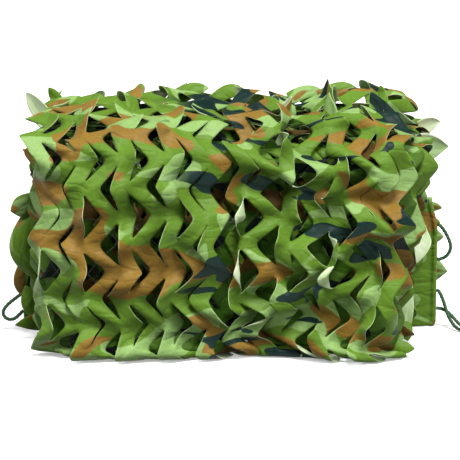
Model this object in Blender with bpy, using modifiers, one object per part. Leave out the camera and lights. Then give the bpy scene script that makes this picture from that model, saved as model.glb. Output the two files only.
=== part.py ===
"""A camouflage net, folded back and forth into a bundle and wrapped once round itself.

The net is one sheet.  Its section, in the YZ plane, starts inside the bundle, runs up and down in
upright layers from front to back, turns up the back, goes over the top, down the front and back
underneath, where it ends.  The wrap shows the cloth's pattern of cuts: upright wavy lines, one for each
ribbon, cut in staggered stretches, whose lips stand apart and tilt.  A cord runs in the sheet's hems and
comes out of them in two loops and a doubled tail.

Metres, +Z up, -Y to the front.  The origin is on the floor, under the middle of the folded net.
"""

import math

import bpy
import numpy as np
from mathutils import Vector, noise

# --- the folded pile -------------------------------------------------------------------------------
THICKNESS = 0.003  # the strip is folded in three lengthwise, so its sheet is three plies of 1 mm
LAYERS = 12  # upright layers inside the wrap; even, so that the last one comes down at the back
FIRST_LAYER_Y, LAST_LAYER_Y = -0.118, 0.126
LAYER_PITCH = (LAST_LAYER_Y - FIRST_LAYER_Y) / (LAYERS - 1)
LAYER_LOW_Z, LAYER_HIGH_Z = 0.018, 0.262  # where an upright layer is straight, between its folds
LAYER_ROWS = 5
FOLD_STEPS = 3

WRAP_FRONT_Y, WRAP_BACK_Y = -0.148, LAST_LAYER_Y + LAYER_PITCH
WRAP_TOP_Z = 0.300
TOP_CORNER, BACK_CORNER, FOOT_CORNER = 0.078, 0.034, 0.020  # radii of the wrap's corners
TOP_STEPS, FOOT_STEPS = 12, 8
BASE_END_Y = WRAP_BACK_Y - 0.006
BASE_ROWS = 6

# --- the pattern of cuts ---------------------------------------------------------------------------
RIBBONS = 17
ROW = 0.0195  # four rows make one wave of the cut lines
WAVE = 0.022  # sideways reach of the wave
WAVE_ROWS = (0.5, -0.5, -0.5, 0.5)
OPEN_ROWS = 2  # of each four rows, these stand open; the other two close the cut and bridge it
GAP, GAP_CHANGE = 0.0048, 0.0016  # how far each lip stands aside, and how much that changes
LIP_OUT, LIP_IN = 0.0085, 0.0045  # how far one lip lifts, and the other sinks

# --- how the pile sits: columns are x, rise of the top, reach of the front -----------------------------
UNEVEN = (
    (-0.260, -0.002, -0.006),
    (-0.205, 0.000, 0.010),
    (-0.150, 0.002, 0.014),
    (-0.080, 0.009, 0.012),
    (0.000, 0.004, -0.004),
    (0.045, -0.004, -0.008),
    (0.100, 0.001, -0.006),
    (0.170, 0.008, 0.010),
    (0.235, 0.004, 0.004),
)
BELLY = 0.010  # how far the front bulges at half its height
VALLEY_Z, VALLEY_DEPTH, VALLEY_WIDTH = 0.214, 0.020, 0.013  # a crease along the front
VALLEY_SWAYS = ((0.006, 0.37, 0.0), (0.004, 0.153, 4.1))  # its rise and fall: how far, how long, phase
FOOT_SPREAD = 0.9  # how much more the front reaches at the floor, as a share of its reach
LEFT_FOOT_TUCK = 0.075  # how far the front's left half is drawn in at the floor, as a share of x
FOOT_HEIGHT = 0.050  # up to which the last two are felt
RIGHT_TUCK = 0.080  # how far the front's right half is drawn in, as a share of x
RIGHT_TUCK_HEIGHT, RIGHT_TUCK_FADE = 0.095, 0.075  # up to this height, and fading over this much more
END_START, END_RUN = 0.190, 0.070  # past this x, and over this run, the ends are drawn in
END_CURL, END_LIMIT = 0.12, 0.20  # share of the depth that they lose, and the most
WRAP_CRUMPLE, LAYER_CRUMPLE = 0.008, 0.006  # how far the cloth waves out of its plane
WRAP_GRAIN, LAYER_GRAIN, LIP_GRAIN = 0.11, 0.09, 0.055  # sizes of that waving, and of the lips' change

# --- the sheet's side edges -------------------------------------------------------------------------
WRAP_EDGES = (-0.262, 0.242)
LAYER_EDGES = (-0.264, 0.258)
INNER_COLUMNS = 6
INNER_REACH = 0.235
EDGE_SWAY = 0.009
HEM_LAYER, HEM_EDGE_X = 6, 0.282  # this layer's plain, hemmed margin stands out at the right end
LEFT_HEM_LAYER, LEFT_HEM_EDGE_X = 5, -0.281  # and this one's at the left end
LEFT, RIGHT = 0, 1
# Edges that stand out of the bundle: columns are layer, side, first and last row from below, x.
STANDING_OUT = (
    (HEM_LAYER, RIGHT, 0, 3, HEM_EDGE_X),
    (HEM_LAYER, RIGHT, 4, 4, 0.277),
    (LEFT_HEM_LAYER, LEFT, 0, 1, LEFT_HEM_EDGE_X),
    (LEFT_HEM_LAYER, LEFT, 2, 2, -0.272),
    (3, LEFT, 2, 3, -0.288),
    (4, LEFT, 3, 3, -0.294),
    (9, LEFT, 1, 1, -0.302),
    (10, LEFT, 0, 1, -0.296),
    (8, LEFT, 3, 3, -0.290),
    (7, RIGHT, 1, 1, 0.299),
    (8, RIGHT, 4, 4, 0.300),
    (9, RIGHT, 2, 2, 0.290),
    (4, RIGHT, 2, 2, 0.268),
)

# --- the edge cord -----------------------------------------------------------------------------------
CORD = 0.005
CORD_SEAT_GAP = 0.0003
CORD_STEP = 2 * CORD
CORD_SIDES = 2  # bevel resolution, for 8 sides
# Routes from one end in the hem to the other: columns are x outward from the hem's edge, y from it, z.
LOOP_RIGHT_ROUTE = (
    (0.0000, 0.0000, 0.1425),
    (0.0045, -0.0005, 0.1395),
    (0.0090, -0.0015, 0.1335),
    (0.0130, -0.0025, 0.1265),
    (0.0160, -0.0035, 0.1195),
    (0.0175, -0.0040, 0.1125),
    (0.0162, -0.0035, 0.1055),
    (0.0125, -0.0025, 0.0995),
    (0.0070, -0.0010, 0.0955),
    (0.0000, 0.0000, 0.0935),
)
LOOP_LEFT_ROUTE = (
    (0.0000, 0.0000, 0.0520),
    (0.0060, -0.0005, 0.0470),
    (0.0140, -0.0012, 0.0410),
    (0.0210, -0.0020, 0.0350),
    (0.0258, -0.0030, 0.0290),
    (0.0272, -0.0038, 0.0232),
    (0.0245, -0.0042, 0.0178),
    (0.0185, -0.0038, 0.0148),
    (0.0115, -0.0025, 0.0160),
    (0.0055, -0.0010, 0.0210),
    (0.0000, 0.0000, 0.0262),
)
TAIL_ROUTE = (
    (0.0000, 0.0000, 0.0510),
    (0.0035, -0.0005, 0.0480),
    (0.0070, -0.0020, 0.0415),
    (0.0100, -0.0045, 0.0335),
    (0.0125, -0.0075, 0.0255),
    (0.0150, -0.0115, 0.0185),
    (0.0185, -0.0165, 0.0120),
    (0.0225, -0.0225, 0.0070),
    (0.0270, -0.0290, 0.0040),
    (0.0325, -0.0355, 0.0029),
    (0.0390, -0.0415, 0.0029),
    (0.0460, -0.0455, 0.0029),
    (0.0530, -0.0460, 0.0029),
    (0.0585, -0.0425, 0.0029),
    (0.0605, -0.0360, 0.0029),
    (0.0580, -0.0300, 0.0029),
    (0.0515, -0.0265, 0.0029),
    (0.0440, -0.0240, 0.0029),
    (0.0375, -0.0205, 0.0033),
    (0.0320, -0.0160, 0.0055),
    (0.0270, -0.0115, 0.0095),
    (0.0220, -0.0070, 0.0145),
    (0.0170, -0.0035, 0.0190),
    (0.0115, -0.0015, 0.0225),
    (0.0055, -0.0003, 0.0245),
    (0.0000, 0.0000, 0.0250),
)


def clear_scene():
    """Starts from an empty scene."""
    for old in list(bpy.data.objects):
        bpy.data.objects.remove(old, do_unlink=True)


def finish(name, colour, roughness):
    """One material, with the colour and roughness of the real finish."""
    made = bpy.data.materials.new(name)
    made.use_nodes = True
    shader = made.node_tree.nodes["Principled BSDF"]
    shader.inputs["Base Color"].default_value = (*colour, 1.0)
    shader.inputs["Roughness"].default_value = roughness
    return made


def layer_y(index):
    """The plane of an upright layer, counted from the front."""
    return FIRST_LAYER_Y + LAYER_PITCH * index


def row_z(row):
    """The height of a row of an upright layer, counted from below."""
    return LAYER_LOW_Z + (LAYER_HIGH_Z - LAYER_LOW_Z) * row / LAYER_ROWS


def arc(centre, radius, start, end, steps):
    """Points along an arc in the YZ plane, from the angle start to end in degrees, without the first."""
    angles = np.radians(np.linspace(start, end, steps + 1)[1:])
    return [(centre[0] + radius * math.cos(a), centre[1] + radius * math.sin(a)) for a in angles]


def inner_path():
    """The section of the upright layers, from the free end to the foot of the back.

    Each entry is y, z, the layer, and the row counted from below, which is None on a fold.
    """
    path = []
    for index in range(LAYERS):
        upward = index % 2 == 0
        rows = range(LAYER_ROWS + 1)
        for row in rows if upward else reversed(rows):
            path.append((layer_y(index), row_z(row), index, row))
        centre = (layer_y(index) + LAYER_PITCH / 2, LAYER_HIGH_Z if upward else LAYER_LOW_Z)
        turn = arc(centre, LAYER_PITCH / 2, 180, 0 if upward else 360, FOLD_STEPS)
        last = index == LAYERS - 1
        path += [(y, z, index, None) for y, z in (turn if last else turn[:-1])]
    return path


def wrap_line():
    """The wrap's section as a fine line: up the back, over the top and down the front."""
    line = [(WRAP_BACK_Y, LAYER_LOW_Z), (WRAP_BACK_Y, WRAP_TOP_Z - BACK_CORNER)]
    line += arc((WRAP_BACK_Y - BACK_CORNER, WRAP_TOP_Z - BACK_CORNER), BACK_CORNER, 0, 90, TOP_STEPS)
    line.append((WRAP_FRONT_Y + TOP_CORNER, WRAP_TOP_Z))
    line += arc((WRAP_FRONT_Y + TOP_CORNER, WRAP_TOP_Z - TOP_CORNER), TOP_CORNER, 90, 180, TOP_STEPS)
    foot_z = THICKNESS / 2 + FOOT_CORNER
    line.append((WRAP_FRONT_Y, foot_z))
    line += arc((WRAP_FRONT_Y + FOOT_CORNER, foot_z), FOOT_CORNER, 180, 270, FOOT_STEPS)
    return np.array(line)


def wrap_path():
    """The wrap's section in rows as far apart as ROW, from the foot of the back to the foot of the front."""
    line = wrap_line()
    along = np.concatenate([[0], np.cumsum(np.linalg.norm(np.diff(line, axis=0), axis=1))])
    at = np.linspace(0, along[-1], round(along[-1] / ROW) + 1)
    return np.stack([np.interp(at, along, line[:, k]) for k in (0, 1)], axis=1)


def soft_step(value, high):
    """0 up to 0, 1 above high, and a smooth turn between them."""
    t = min(1.0, max(0.0, value / high))
    return t * t * (3 - 2 * t)


def uneven(x, y, z):
    """Lets the pile sag and bulge.

    Its top rises and its front reaches as the table says, more so towards the front; the front bulges at
    half its height, is creased above that and spreads at its foot; its left end is drawn in at the floor and
    its right end up to half its height; and both ends are drawn in towards the middle of the pile's depth.
    """
    stations, rises, reaches = zip(*UNEVEN)
    height_share = min(1.0, max(0.0, z / WRAP_TOP_Z))
    front_share = max(0.0, y / WRAP_FRONT_Y)
    at_foot = 1 - soft_step(z, FOOT_HEIGHT)
    reach = np.interp(x, stations, reaches) * (1 + FOOT_SPREAD * at_foot)
    reach += BELLY * math.sin(math.pi * height_share)
    sways = [height * math.sin(2 * math.pi * x / length + phase) for height, length, phase in VALLEY_SWAYS]
    valley_z = VALLEY_Z + sum(sways)
    reach -= VALLEY_DEPTH * math.exp(-(((z - valley_z) / VALLEY_WIDTH) ** 2))
    past_start = max(0.0, abs(x) - END_START) / END_RUN
    drawn_in = min(END_LIMIT, END_CURL * past_start**2)
    rise = height_share * np.interp(x, stations, rises)
    below = 1 - soft_step(z - RIGHT_TUCK_HEIGHT, RIGHT_TUCK_FADE)
    tuck = LEFT_FOOT_TUCK * min(x, 0.0) * at_foot + RIGHT_TUCK * max(x, 0.0) * below
    x -= tuck * soft_step(front_share - 0.3, 0.5)
    return Vector((x, y * (1 - drawn_in) - front_share * reach, z + rise))


def crumple(x, y, z, grain):
    """A smooth unevenness between about -1 and 1, whose hollows and humps are as wide as grain."""
    return noise.noise(Vector((x, y * 0.7, z)) / grain)


class Sheet:
    """The sheet's points and faces as they are laid down, row after row.

    A row is a list of columns, and a column is the point that its left neighbour meets and the point that
    its right neighbour meets.  They differ where a cut stands open.
    """

    def __init__(self):
        self.points = []
        self.faces = []

    def point(self, place):
        self.points.append(tuple(place))
        return len(self.points) - 1

    def strip(self, low, high):
        """Joins two rows with the same number of columns."""
        for column in range(len(low) - 1):
            right, left = column + 1, column
            self.faces.append((low[left][1], low[right][0], high[right][0], high[left][1]))

    def bridge(self, low, high):
        """Joins two rows with different numbers of columns by triangles."""
        i = j = 0
        while i < len(low) - 1 or j < len(high) - 1:
            low_next = (i + 1) / (len(low) - 1)
            high_next = (j + 1) / (len(high) - 1)
            if j == len(high) - 1 or (i < len(low) - 1 and low_next <= high_next):
                self.faces.append((low[i][1], low[i + 1][0], high[j][0]))
                i += 1
            else:
                self.faces.append((low[i][0], high[j + 1][0], high[j][1]))
                j += 1


def outward_directions(path):
    """The outward direction of each row of a section, square to its run."""
    run = np.gradient(np.array([(entry[0], entry[1]) for entry in path]), axis=0)
    run /= np.linalg.norm(run, axis=1)[:, None]
    return np.stack([run[:, 1], -run[:, 0]], axis=1)


def layer_columns(index, row, step):
    """The x of each column of an upright layer; its edges sway from step to step or stand out."""
    edges = [LAYER_EDGES[LEFT] + EDGE_SWAY * math.sin(2.1 * index + 0.35 * step)]
    edges.append(LAYER_EDGES[RIGHT] + EDGE_SWAY * math.sin(1.7 * index + 0.30 * step + 1.0))
    for layer, side, first, last, x in STANDING_OUT:
        if layer == index and row is not None and first <= row <= last:
            edges[side] = x
    inner = np.linspace(-INNER_REACH, INNER_REACH, INNER_COLUMNS)
    return [edges[LEFT], *inner, edges[RIGHT]]


def in_hem(index, column):
    """Whether this point of a layer belongs to a hemmed margin, which stays plain and flat."""
    right_margin = index == HEM_LAYER and column >= INNER_COLUMNS
    left_margin = index == LEFT_HEM_LAYER and column <= 1
    return right_margin or left_margin


def lay_layers(sheet):
    """Lays the upright layers, and gives the last row laid."""
    path = inner_path()
    outward = outward_directions(path)
    before = None
    for step, ((y, z, index, row), away) in enumerate(zip(path, outward)):
        ids = []
        for column, x in enumerate(layer_columns(index, row, step)):
            plain = in_hem(index, column)
            offset = 0.0 if plain else LAYER_CRUMPLE * crumple(x, y * 4, z, LAYER_GRAIN)
            spot = sheet.point(uneven(x, y + away[0] * offset, z + away[1] * offset))
            ids.append((spot, spot))
        if before:
            sheet.strip(before, ids)
        before = ids
    return before


def is_open(line, row, rows):
    """Whether a cut line stands open at this row. Cuts on odd lines start half a wave later."""
    if line in (0, RIBBONS) or row < 2 or row > rows - 3:
        return False
    phase = (row - 2 * (line % 2)) % len(WAVE_ROWS)
    return 0 < phase <= OPEN_ROWS


def lay_wrap(sheet, before):
    """Lays the wrap over the back, the top and the front, with its cuts, and gives the last row laid."""
    path = wrap_path()
    outward = outward_directions(path)
    left, right = WRAP_EDGES
    rows = len(path)
    for row in range(1, rows):
        y, z = path[row]
        away = outward[row]
        from_end = min(1.0, (row - 1) / 2, (rows - 1 - row) / 2)
        ids = []
        for line in range(RIBBONS + 1):
            x = left + (right - left) * line / RIBBONS
            x += WAVE * WAVE_ROWS[row % len(WAVE_ROWS)] * from_end
            rough = WRAP_CRUMPLE * crumple(x, y, z, WRAP_GRAIN) * from_end

            def place(aside, lift):
                off = rough + lift
                return sheet.point(uneven(x + aside, y + away[0] * off, z + away[1] * off))

            if is_open(line, row, rows):
                change = crumple(x, y + 0.4, z, LIP_GRAIN)
                aside = GAP + GAP_CHANGE * change
                lifts = [LIP_OUT * (1 + 0.8 * change), -LIP_IN]
                if line % 2 == 0:
                    lifts.reverse()
                ids.append((place(-aside, lifts[0]), place(aside, lifts[1])))
            else:
                spot = place(0.0, 0.0)
                ids.append((spot, spot))
        if row == 1:
            sheet.bridge(before, ids)
        else:
            sheet.strip(before, ids)
        before = ids
    return before


def lay_base(sheet, before):
    """Lays the flat run under the bundle, from the foot of the front to the end of the sheet."""
    start_y = WRAP_FRONT_Y + FOOT_CORNER
    columns = np.linspace(*WRAP_EDGES, INNER_COLUMNS)
    for row in range(1, BASE_ROWS + 1):
        y = start_y + (BASE_END_Y - start_y) * row / BASE_ROWS
        spots = [uneven(x, y, 0.0) for x in columns]
        ids = [(sheet.point((spot.x, spot.y, THICKNESS / 2)),) * 2 for spot in spots]
        if row == 1:
            sheet.bridge(before, ids)
        else:
            sheet.strip(before, ids)
        before = ids


def make_net(home, cloth):
    """The folded net: the sheet as it is laid, with its thickness."""
    sheet = Sheet()
    foot_of_back = lay_layers(sheet)
    foot_of_front = lay_wrap(sheet, foot_of_back)
    lay_base(sheet, foot_of_front)
    mesh = bpy.data.meshes.new("net")
    mesh.from_pydata(sheet.points, [], sheet.faces)
    mesh.materials.append(cloth)
    obj = bpy.data.objects.new("net", mesh)
    home.objects.link(obj)
    wall = obj.modifiers.new("thickness", "SOLIDIFY")
    wall.thickness = THICKNESS
    wall.offset = 0.0
    return obj


def hem_y(index, edge_x, height):
    """Where a hem's edge stands, front to back, at a height above the floor."""
    edge = [uneven(edge_x, layer_y(index), row_z(row)) for row in range(LAYER_ROWS + 1)]
    return float(np.interp(height, [p.z for p in edge], [p.y for p in edge]))


def smooth_line(points, step):
    """A smooth curve through the points, as points about step apart: a Catmull-Rom spline."""
    p = np.array(points)
    p = np.vstack([2 * p[0] - p[1], p, 2 * p[-1] - p[-2]])
    t = np.linspace(0, 1, 12, endpoint=False)[:, None]
    parts = []
    for a, b, c, d in zip(p[:-3], p[1:-2], p[2:-1], p[3:]):
        cubic = 2 * b + (c - a) * t + (2 * a - 5 * b + 4 * c - d) * t**2 + (3 * b - a - 3 * c + d) * t**3
        parts.append(cubic / 2)
    fine = np.vstack([*parts, p[-2:-1]])
    along = np.concatenate([[0], np.cumsum(np.linalg.norm(np.diff(fine, axis=0), axis=1))])
    at = np.linspace(0, along[-1], round(along[-1] / step) + 1)
    return np.stack([np.interp(at, along, fine[:, k]) for k in range(3)], axis=1)


def make_cord(home, name, route, index, edge_x, material):
    """A stretch of the edge cord outside the hem, both of whose ends leave the hem's edge square to it."""
    outward = math.copysign(1.0, edge_x)
    points = []
    for aside, forward, height in route:
        x = edge_x + outward * (aside + CORD_SEAT_GAP)
        points.append((x, hem_y(index, edge_x, height) + forward, height))
    line = smooth_line(points, CORD_STEP)
    line[1, 1:] = line[0, 1:]
    line[-2, 1:] = line[-1, 1:]
    curve = bpy.data.curves.new(name, "CURVE")
    curve.dimensions = "3D"
    curve.bevel_depth = CORD / 2
    curve.bevel_resolution = CORD_SIDES
    curve.use_fill_caps = True
    spline = curve.splines.new("POLY")
    spline.points.add(len(line) - 1)
    for spot, place in zip(spline.points, line):
        spot.co = (*place, 1.0)
    curve.materials.append(material)
    obj = bpy.data.objects.new(name, curve)
    home.objects.link(obj)


def centre_on_origin(home, net):
    """Moves everything so that the origin lies under the middle of the net's box."""
    bpy.context.view_layer.update()
    shape = net.evaluated_get(bpy.context.evaluated_depsgraph_get())
    corners = np.array([corner[:] for corner in shape.bound_box])
    middle = (corners.min(axis=0) + corners.max(axis=0)) / 2
    for obj in home.objects:
        obj.location = (-middle[0], -middle[1], 0.0)


def main():
    clear_scene()
    home = bpy.data.collections.new("camouflage_net")
    bpy.context.scene.collection.children.link(home)
    cloth = finish("camouflage_cloth", (0.20, 0.33, 0.08), 0.75)
    braid = finish("green_braid", (0.03, 0.09, 0.03), 0.85)
    net = make_net(home, cloth)
    make_cord(home, "cord_loop_right", LOOP_RIGHT_ROUTE, HEM_LAYER, HEM_EDGE_X, braid)
    make_cord(home, "cord_tail_right", TAIL_ROUTE, HEM_LAYER, HEM_EDGE_X, braid)
    make_cord(home, "cord_loop_left", LOOP_LEFT_ROUTE, LEFT_HEM_LAYER, LEFT_HEM_EDGE_X, braid)
    centre_on_origin(home, net)


main()
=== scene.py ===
"""The looks of a camouflage net, folded into a bundle and wrapped once round itself.

The cloth is worked out as what it is: a flat strip with staggered wavy cuts, laid on the bundle's section
and let settle, so that its leaves stand up, tilt and curl between the bridges that hold them.
"""

import math

import bpy
import numpy as np
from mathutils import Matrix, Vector


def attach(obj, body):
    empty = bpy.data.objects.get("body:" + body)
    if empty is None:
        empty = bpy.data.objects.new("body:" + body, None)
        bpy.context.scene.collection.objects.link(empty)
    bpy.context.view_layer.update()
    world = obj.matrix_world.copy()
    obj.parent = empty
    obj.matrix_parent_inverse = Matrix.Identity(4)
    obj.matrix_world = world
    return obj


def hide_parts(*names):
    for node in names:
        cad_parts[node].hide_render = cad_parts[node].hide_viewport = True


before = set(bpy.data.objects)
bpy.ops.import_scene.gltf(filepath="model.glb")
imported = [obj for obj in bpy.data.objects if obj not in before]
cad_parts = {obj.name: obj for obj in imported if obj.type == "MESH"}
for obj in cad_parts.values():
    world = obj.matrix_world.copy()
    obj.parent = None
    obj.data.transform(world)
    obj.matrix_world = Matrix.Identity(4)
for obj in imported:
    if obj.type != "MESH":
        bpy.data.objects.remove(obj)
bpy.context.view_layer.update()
MM_IN_A_METRE = 1000

# --- the bundle's section, in metres, as the solids have it ---
LAYERS = 12
FIRST_LAYER_Y, LAST_LAYER_Y = -0.118, 0.126
LAYER_PITCH = (LAST_LAYER_Y - FIRST_LAYER_Y) / (LAYERS - 1)
LAYER_LOW_Z, LAYER_HIGH_Z = 0.018, 0.262
WRAP_FRONT_Y, WRAP_BACK_Y = -0.148, LAST_LAYER_Y + LAYER_PITCH
WRAP_TOP_Z = 0.300
TOP_CORNER, BACK_CORNER, FOOT_CORNER = 0.078, 0.034, 0.008
BASE_Z = 0.0015
BASE_END_Y = WRAP_BACK_Y - 0.006
WRAP_EDGES = (-0.266, 0.250)
WRAP_PARTING = -0.004  # the regular part of the wrap ends here
WRAP_LAP = 0.010  # and the slack part starts this much before
LAYER_EDGES = (-0.264, 0.262)
CENTRING = np.array([0.001018, 0.011192, 0.0])  # brings the net's middle over the origin
# How the pile sits: columns are x, rise of the top, reach of the front.
UNEVEN = np.array((
    (-0.260, -0.002, -0.006), (-0.205, 0.000, 0.010), (-0.150, 0.002, 0.014), (-0.080, 0.009, 0.012),
    (0.000, 0.004, -0.004), (0.045, -0.004, -0.008), (0.100, 0.001, -0.006), (0.170, 0.008, 0.010),
    (0.235, 0.004, 0.004),
))
BELLY = 0.010
VALLEY_Z, VALLEY_DEPTH, VALLEY_WIDTH = 0.214, 0.026, 0.013  # a crease along the front
CREASE_SLACK = 0.7  # how much slacker the outer cloth is along the crease
VALLEY_SWAYS = ((0.006, 0.37, 0.0), (0.004, 0.153, 4.1))  # its rise and fall: how far, how long, phase
FOOT_HEIGHT = 0.050  # up to which the foot spreads and is drawn in
FOOT_SPREAD = 0.9  # how much more the front reaches at its foot, as a share of its reach
LEFT_FOOT_TUCK = 0.075  # how much the left half is drawn in at the floor, as a share of x
RIGHT_TUCK = 0.080  # how much the front's right half is drawn in, as a share of x
RIGHT_TUCK_LOW, RIGHT_TUCK_HIGH = 0.095, 0.170  # fully up to the first height, not at all above the second
END_START, END_RUN = 0.190, 0.070
END_CURL, END_LIMIT = 0.12, 0.20
# Layer ends that stand out of the pile: layer, side, lowest z, highest z, x.
STANDING_OUT = (
    (5, -1, 0.018, 0.080, -0.281), (5, -1, 0.100, 0.120, -0.272), (3, -1, 0.105, 0.160, -0.288),
    (4, -1, 0.145, 0.170, -0.294), (9, -1, 0.055, 0.075, -0.302), (10, -1, 0.018, 0.070, -0.296),
    (8, -1, 0.145, 0.170, -0.290), (7, 1, 0.055, 0.075, 0.299), (8, 1, 0.210, 0.245, 0.300),
    (9, 1, 0.100, 0.120, 0.290), (4, 1, 0.100, 0.120, 0.255),
)

# --- the edge cord ---
CORD = 0.005
CORD_PITCH = 0.017  # one turn of its strands
CORD_STEP = 0.0009  # from one ring of its mesh to the next
CORD_GROOVE = 0.22  # how much less its radius is between two strands
CORD_CLEAR = 0.0003  # where the cord starts, off the hem's edge
RIGHT_HEM = (0.28302, 0.0233)  # where the hem's edge is, x and y
LEFT_HEM = (-0.27998, 0.0056)
# Points from each stretch's exit, as steps outwards, forwards and up, in millimetres.
RIGHT_LOOP = (
    (0, 0, 142.5), (4.5, -0.5, 139.5), (9, -1.5, 133.5), (13, -2.5, 126.5), (16, -3.5, 119.5),
    (17.5, -4, 112.5), (16.2, -3.5, 105.5), (12.5, -2.5, 99.5), (7, -1, 95.5), (0, 0, 93.5),
)
LEFT_LOOP = (
    (0, 0, 52), (6, -0.5, 47), (14, -1.2, 41), (21, -2, 35), (25.8, -3, 29), (27.2, -3.8, 23.2),
    (24.5, -4.2, 17.8), (18.5, -3.8, 14.8), (11.5, -2.5, 16), (5.5, -1, 21), (0, 0, 26.2),
)
RIGHT_TAIL = (
    (0, 0, 51), (3.5, -0.5, 48), (7, -2, 41.5), (10, -4.5, 33.5), (12.5, -7.5, 25.5), (15, -11.5, 18.5),
    (18.5, -16.5, 12), (22.5, -22.5, 7), (27, -29, 4), (32.5, -35.5, 2.9), (39, -41.5, 2.9),
    (46, -45.5, 2.9), (53, -46, 2.9), (58.5, -42.5, 2.9), (60.5, -36, 2.9), (58, -30, 2.9),
    (51.5, -26.5, 2.9), (44, -24, 2.9), (37.5, -20.5, 3.3), (32, -16, 5.5), (27, -11.5, 9.5),
    (22, -7, 14.5), (17, -3.5, 19), (11.5, -1.5, 22.5), (5.5, -0.3, 24.5), (0, 0, 25),
)

# --- the cloth as it is cut ---
RIBBON = 0.0255  # from one cut line to the next
WAVE_REACH = 0.0132  # how far a cut line swings to each side
WAVE_POINT = 0.1  # the tenth that makes its turns more pointed
BRIDGE_ROWS = 2  # how many rows of faces a bridge takes up
HALF_WAVE_ROWS = np.array((0.0055, 0.0055, 0.0093, 0.0094, 0.0093))
COARSE_HALF_WAVE_ROWS = np.array((0.0055, 0.0055, 0.0140, 0.0140))
CLOTH = 0.0006  # drawn thicker than the real 0.25 mm, so that its cut edge catches the light
FINE_SUB, COARSE_SUB = 4, 2  # columns of faces across a ribbon
UNDER_RIBBONS, LAYER_RIBBONS = 17, 18
LAYER_SPARE = 1.03  # how much longer the layers' cloth is than the way that it covers

# --- how the cloth lies; pushes are in metres a step ---
SHEAR = 0.5  # how firmly the cloth keeps its right angles; 1 doesn't give at all
INNER_BEND = 0.4  # how firmly the inner plies keep flat
FLOOR_CLEAR = 0.0006  # the lowest that any cloth lies
WEIGHT = 0.00003
KEEP = 0.86  # how much of its last move a point keeps
# The outer cloth where it is calm, and how much more where it is fully slack.
STRAY = (0.004, 0.010)  # how far its bridges stray along the bundle
HEAVE = (0.003, 0.005)  # how far they stray in and out
SINK = (0.010, 0.007)  # how far it may lie below its place
STAND = (0.022, 0.006)  # how far it may stand above it
OPENING = (0.25, 0.85)  # how far its leaves open
GATHER = 0.007  # how far slack cloth is drawn together in small gathers
STRAY_WAVE, GATHER_WAVE, BILLOW_WAVE, CALM_WAVE = 0.12, 0.055, 0.065, 0.16  # how long their waves are
CALM = 0.55  # how much less slack it is in a calm patch
TOP_RISE, FOOT_RISE = 0.008, 0.010  # how much higher it lies on the top and at the foot
TOP_CALM = 0.6  # how much less its leaves open on the top
STAND_PUSH, HANG_PUSH = 0.00026, 0.00018  # on a leaf's edge that stands up, and on one that hangs in
BILLOW_PUSH, CURL_PUSH = 0.00020, 0.00016  # on slack cloth in and out, and on a standing edge sideways
UNDER_DEPTH, UNDER_FOOT_DEPTH = 0.020, 0.006  # how deep the second ply lies, and how deep at the foot
UNDER_SHORT = 0.25  # how much of the outer turn it leaves out, underneath
FRONT_LAYERS, SHORT_HEIGHT, SHORT_BY = 6, 0.18, 0.030  # these layers end short, up to this height, so far

# --- the hems ---
HEM_HALF = 0.0006  # half the thickness of the plain margin
CHANNEL = 0.0031  # the radius of the channel that the cord runs in
HEM_SNIP, HEM_LEAN = 0.003, 0.008  # how far the edge is cut back at its foot, and leans in at its top
HEM_SWAY, HEM_BOW = 0.0022, 0.010  # how far the margin sways and bows
STITCH_LINE = 0.0084  # how far in from the edge the stitches run
STITCH_PITCH, STITCH_HALF, STITCH_RISE = 0.0036, 0.0012, 0.0004  # how far apart, half its length, its arch
SEWING_THREAD = 0.0007

# --- the twine net ---
TWINE, TWINE_STEP = 0.0014, 0.009
MESH_SIDE = 0.030
TWINE_DEPTH = (0.0145, 0.012)  # behind the cloth, and how much more where that is slack or creased
TWINE_STRAY = 0.0025
TWINE_ENDS = (0.10, 0.31)  # how much of the outer turn it leaves bare at its start and at its end
TWINE_MARGIN = 0.014  # and along its sides

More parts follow.
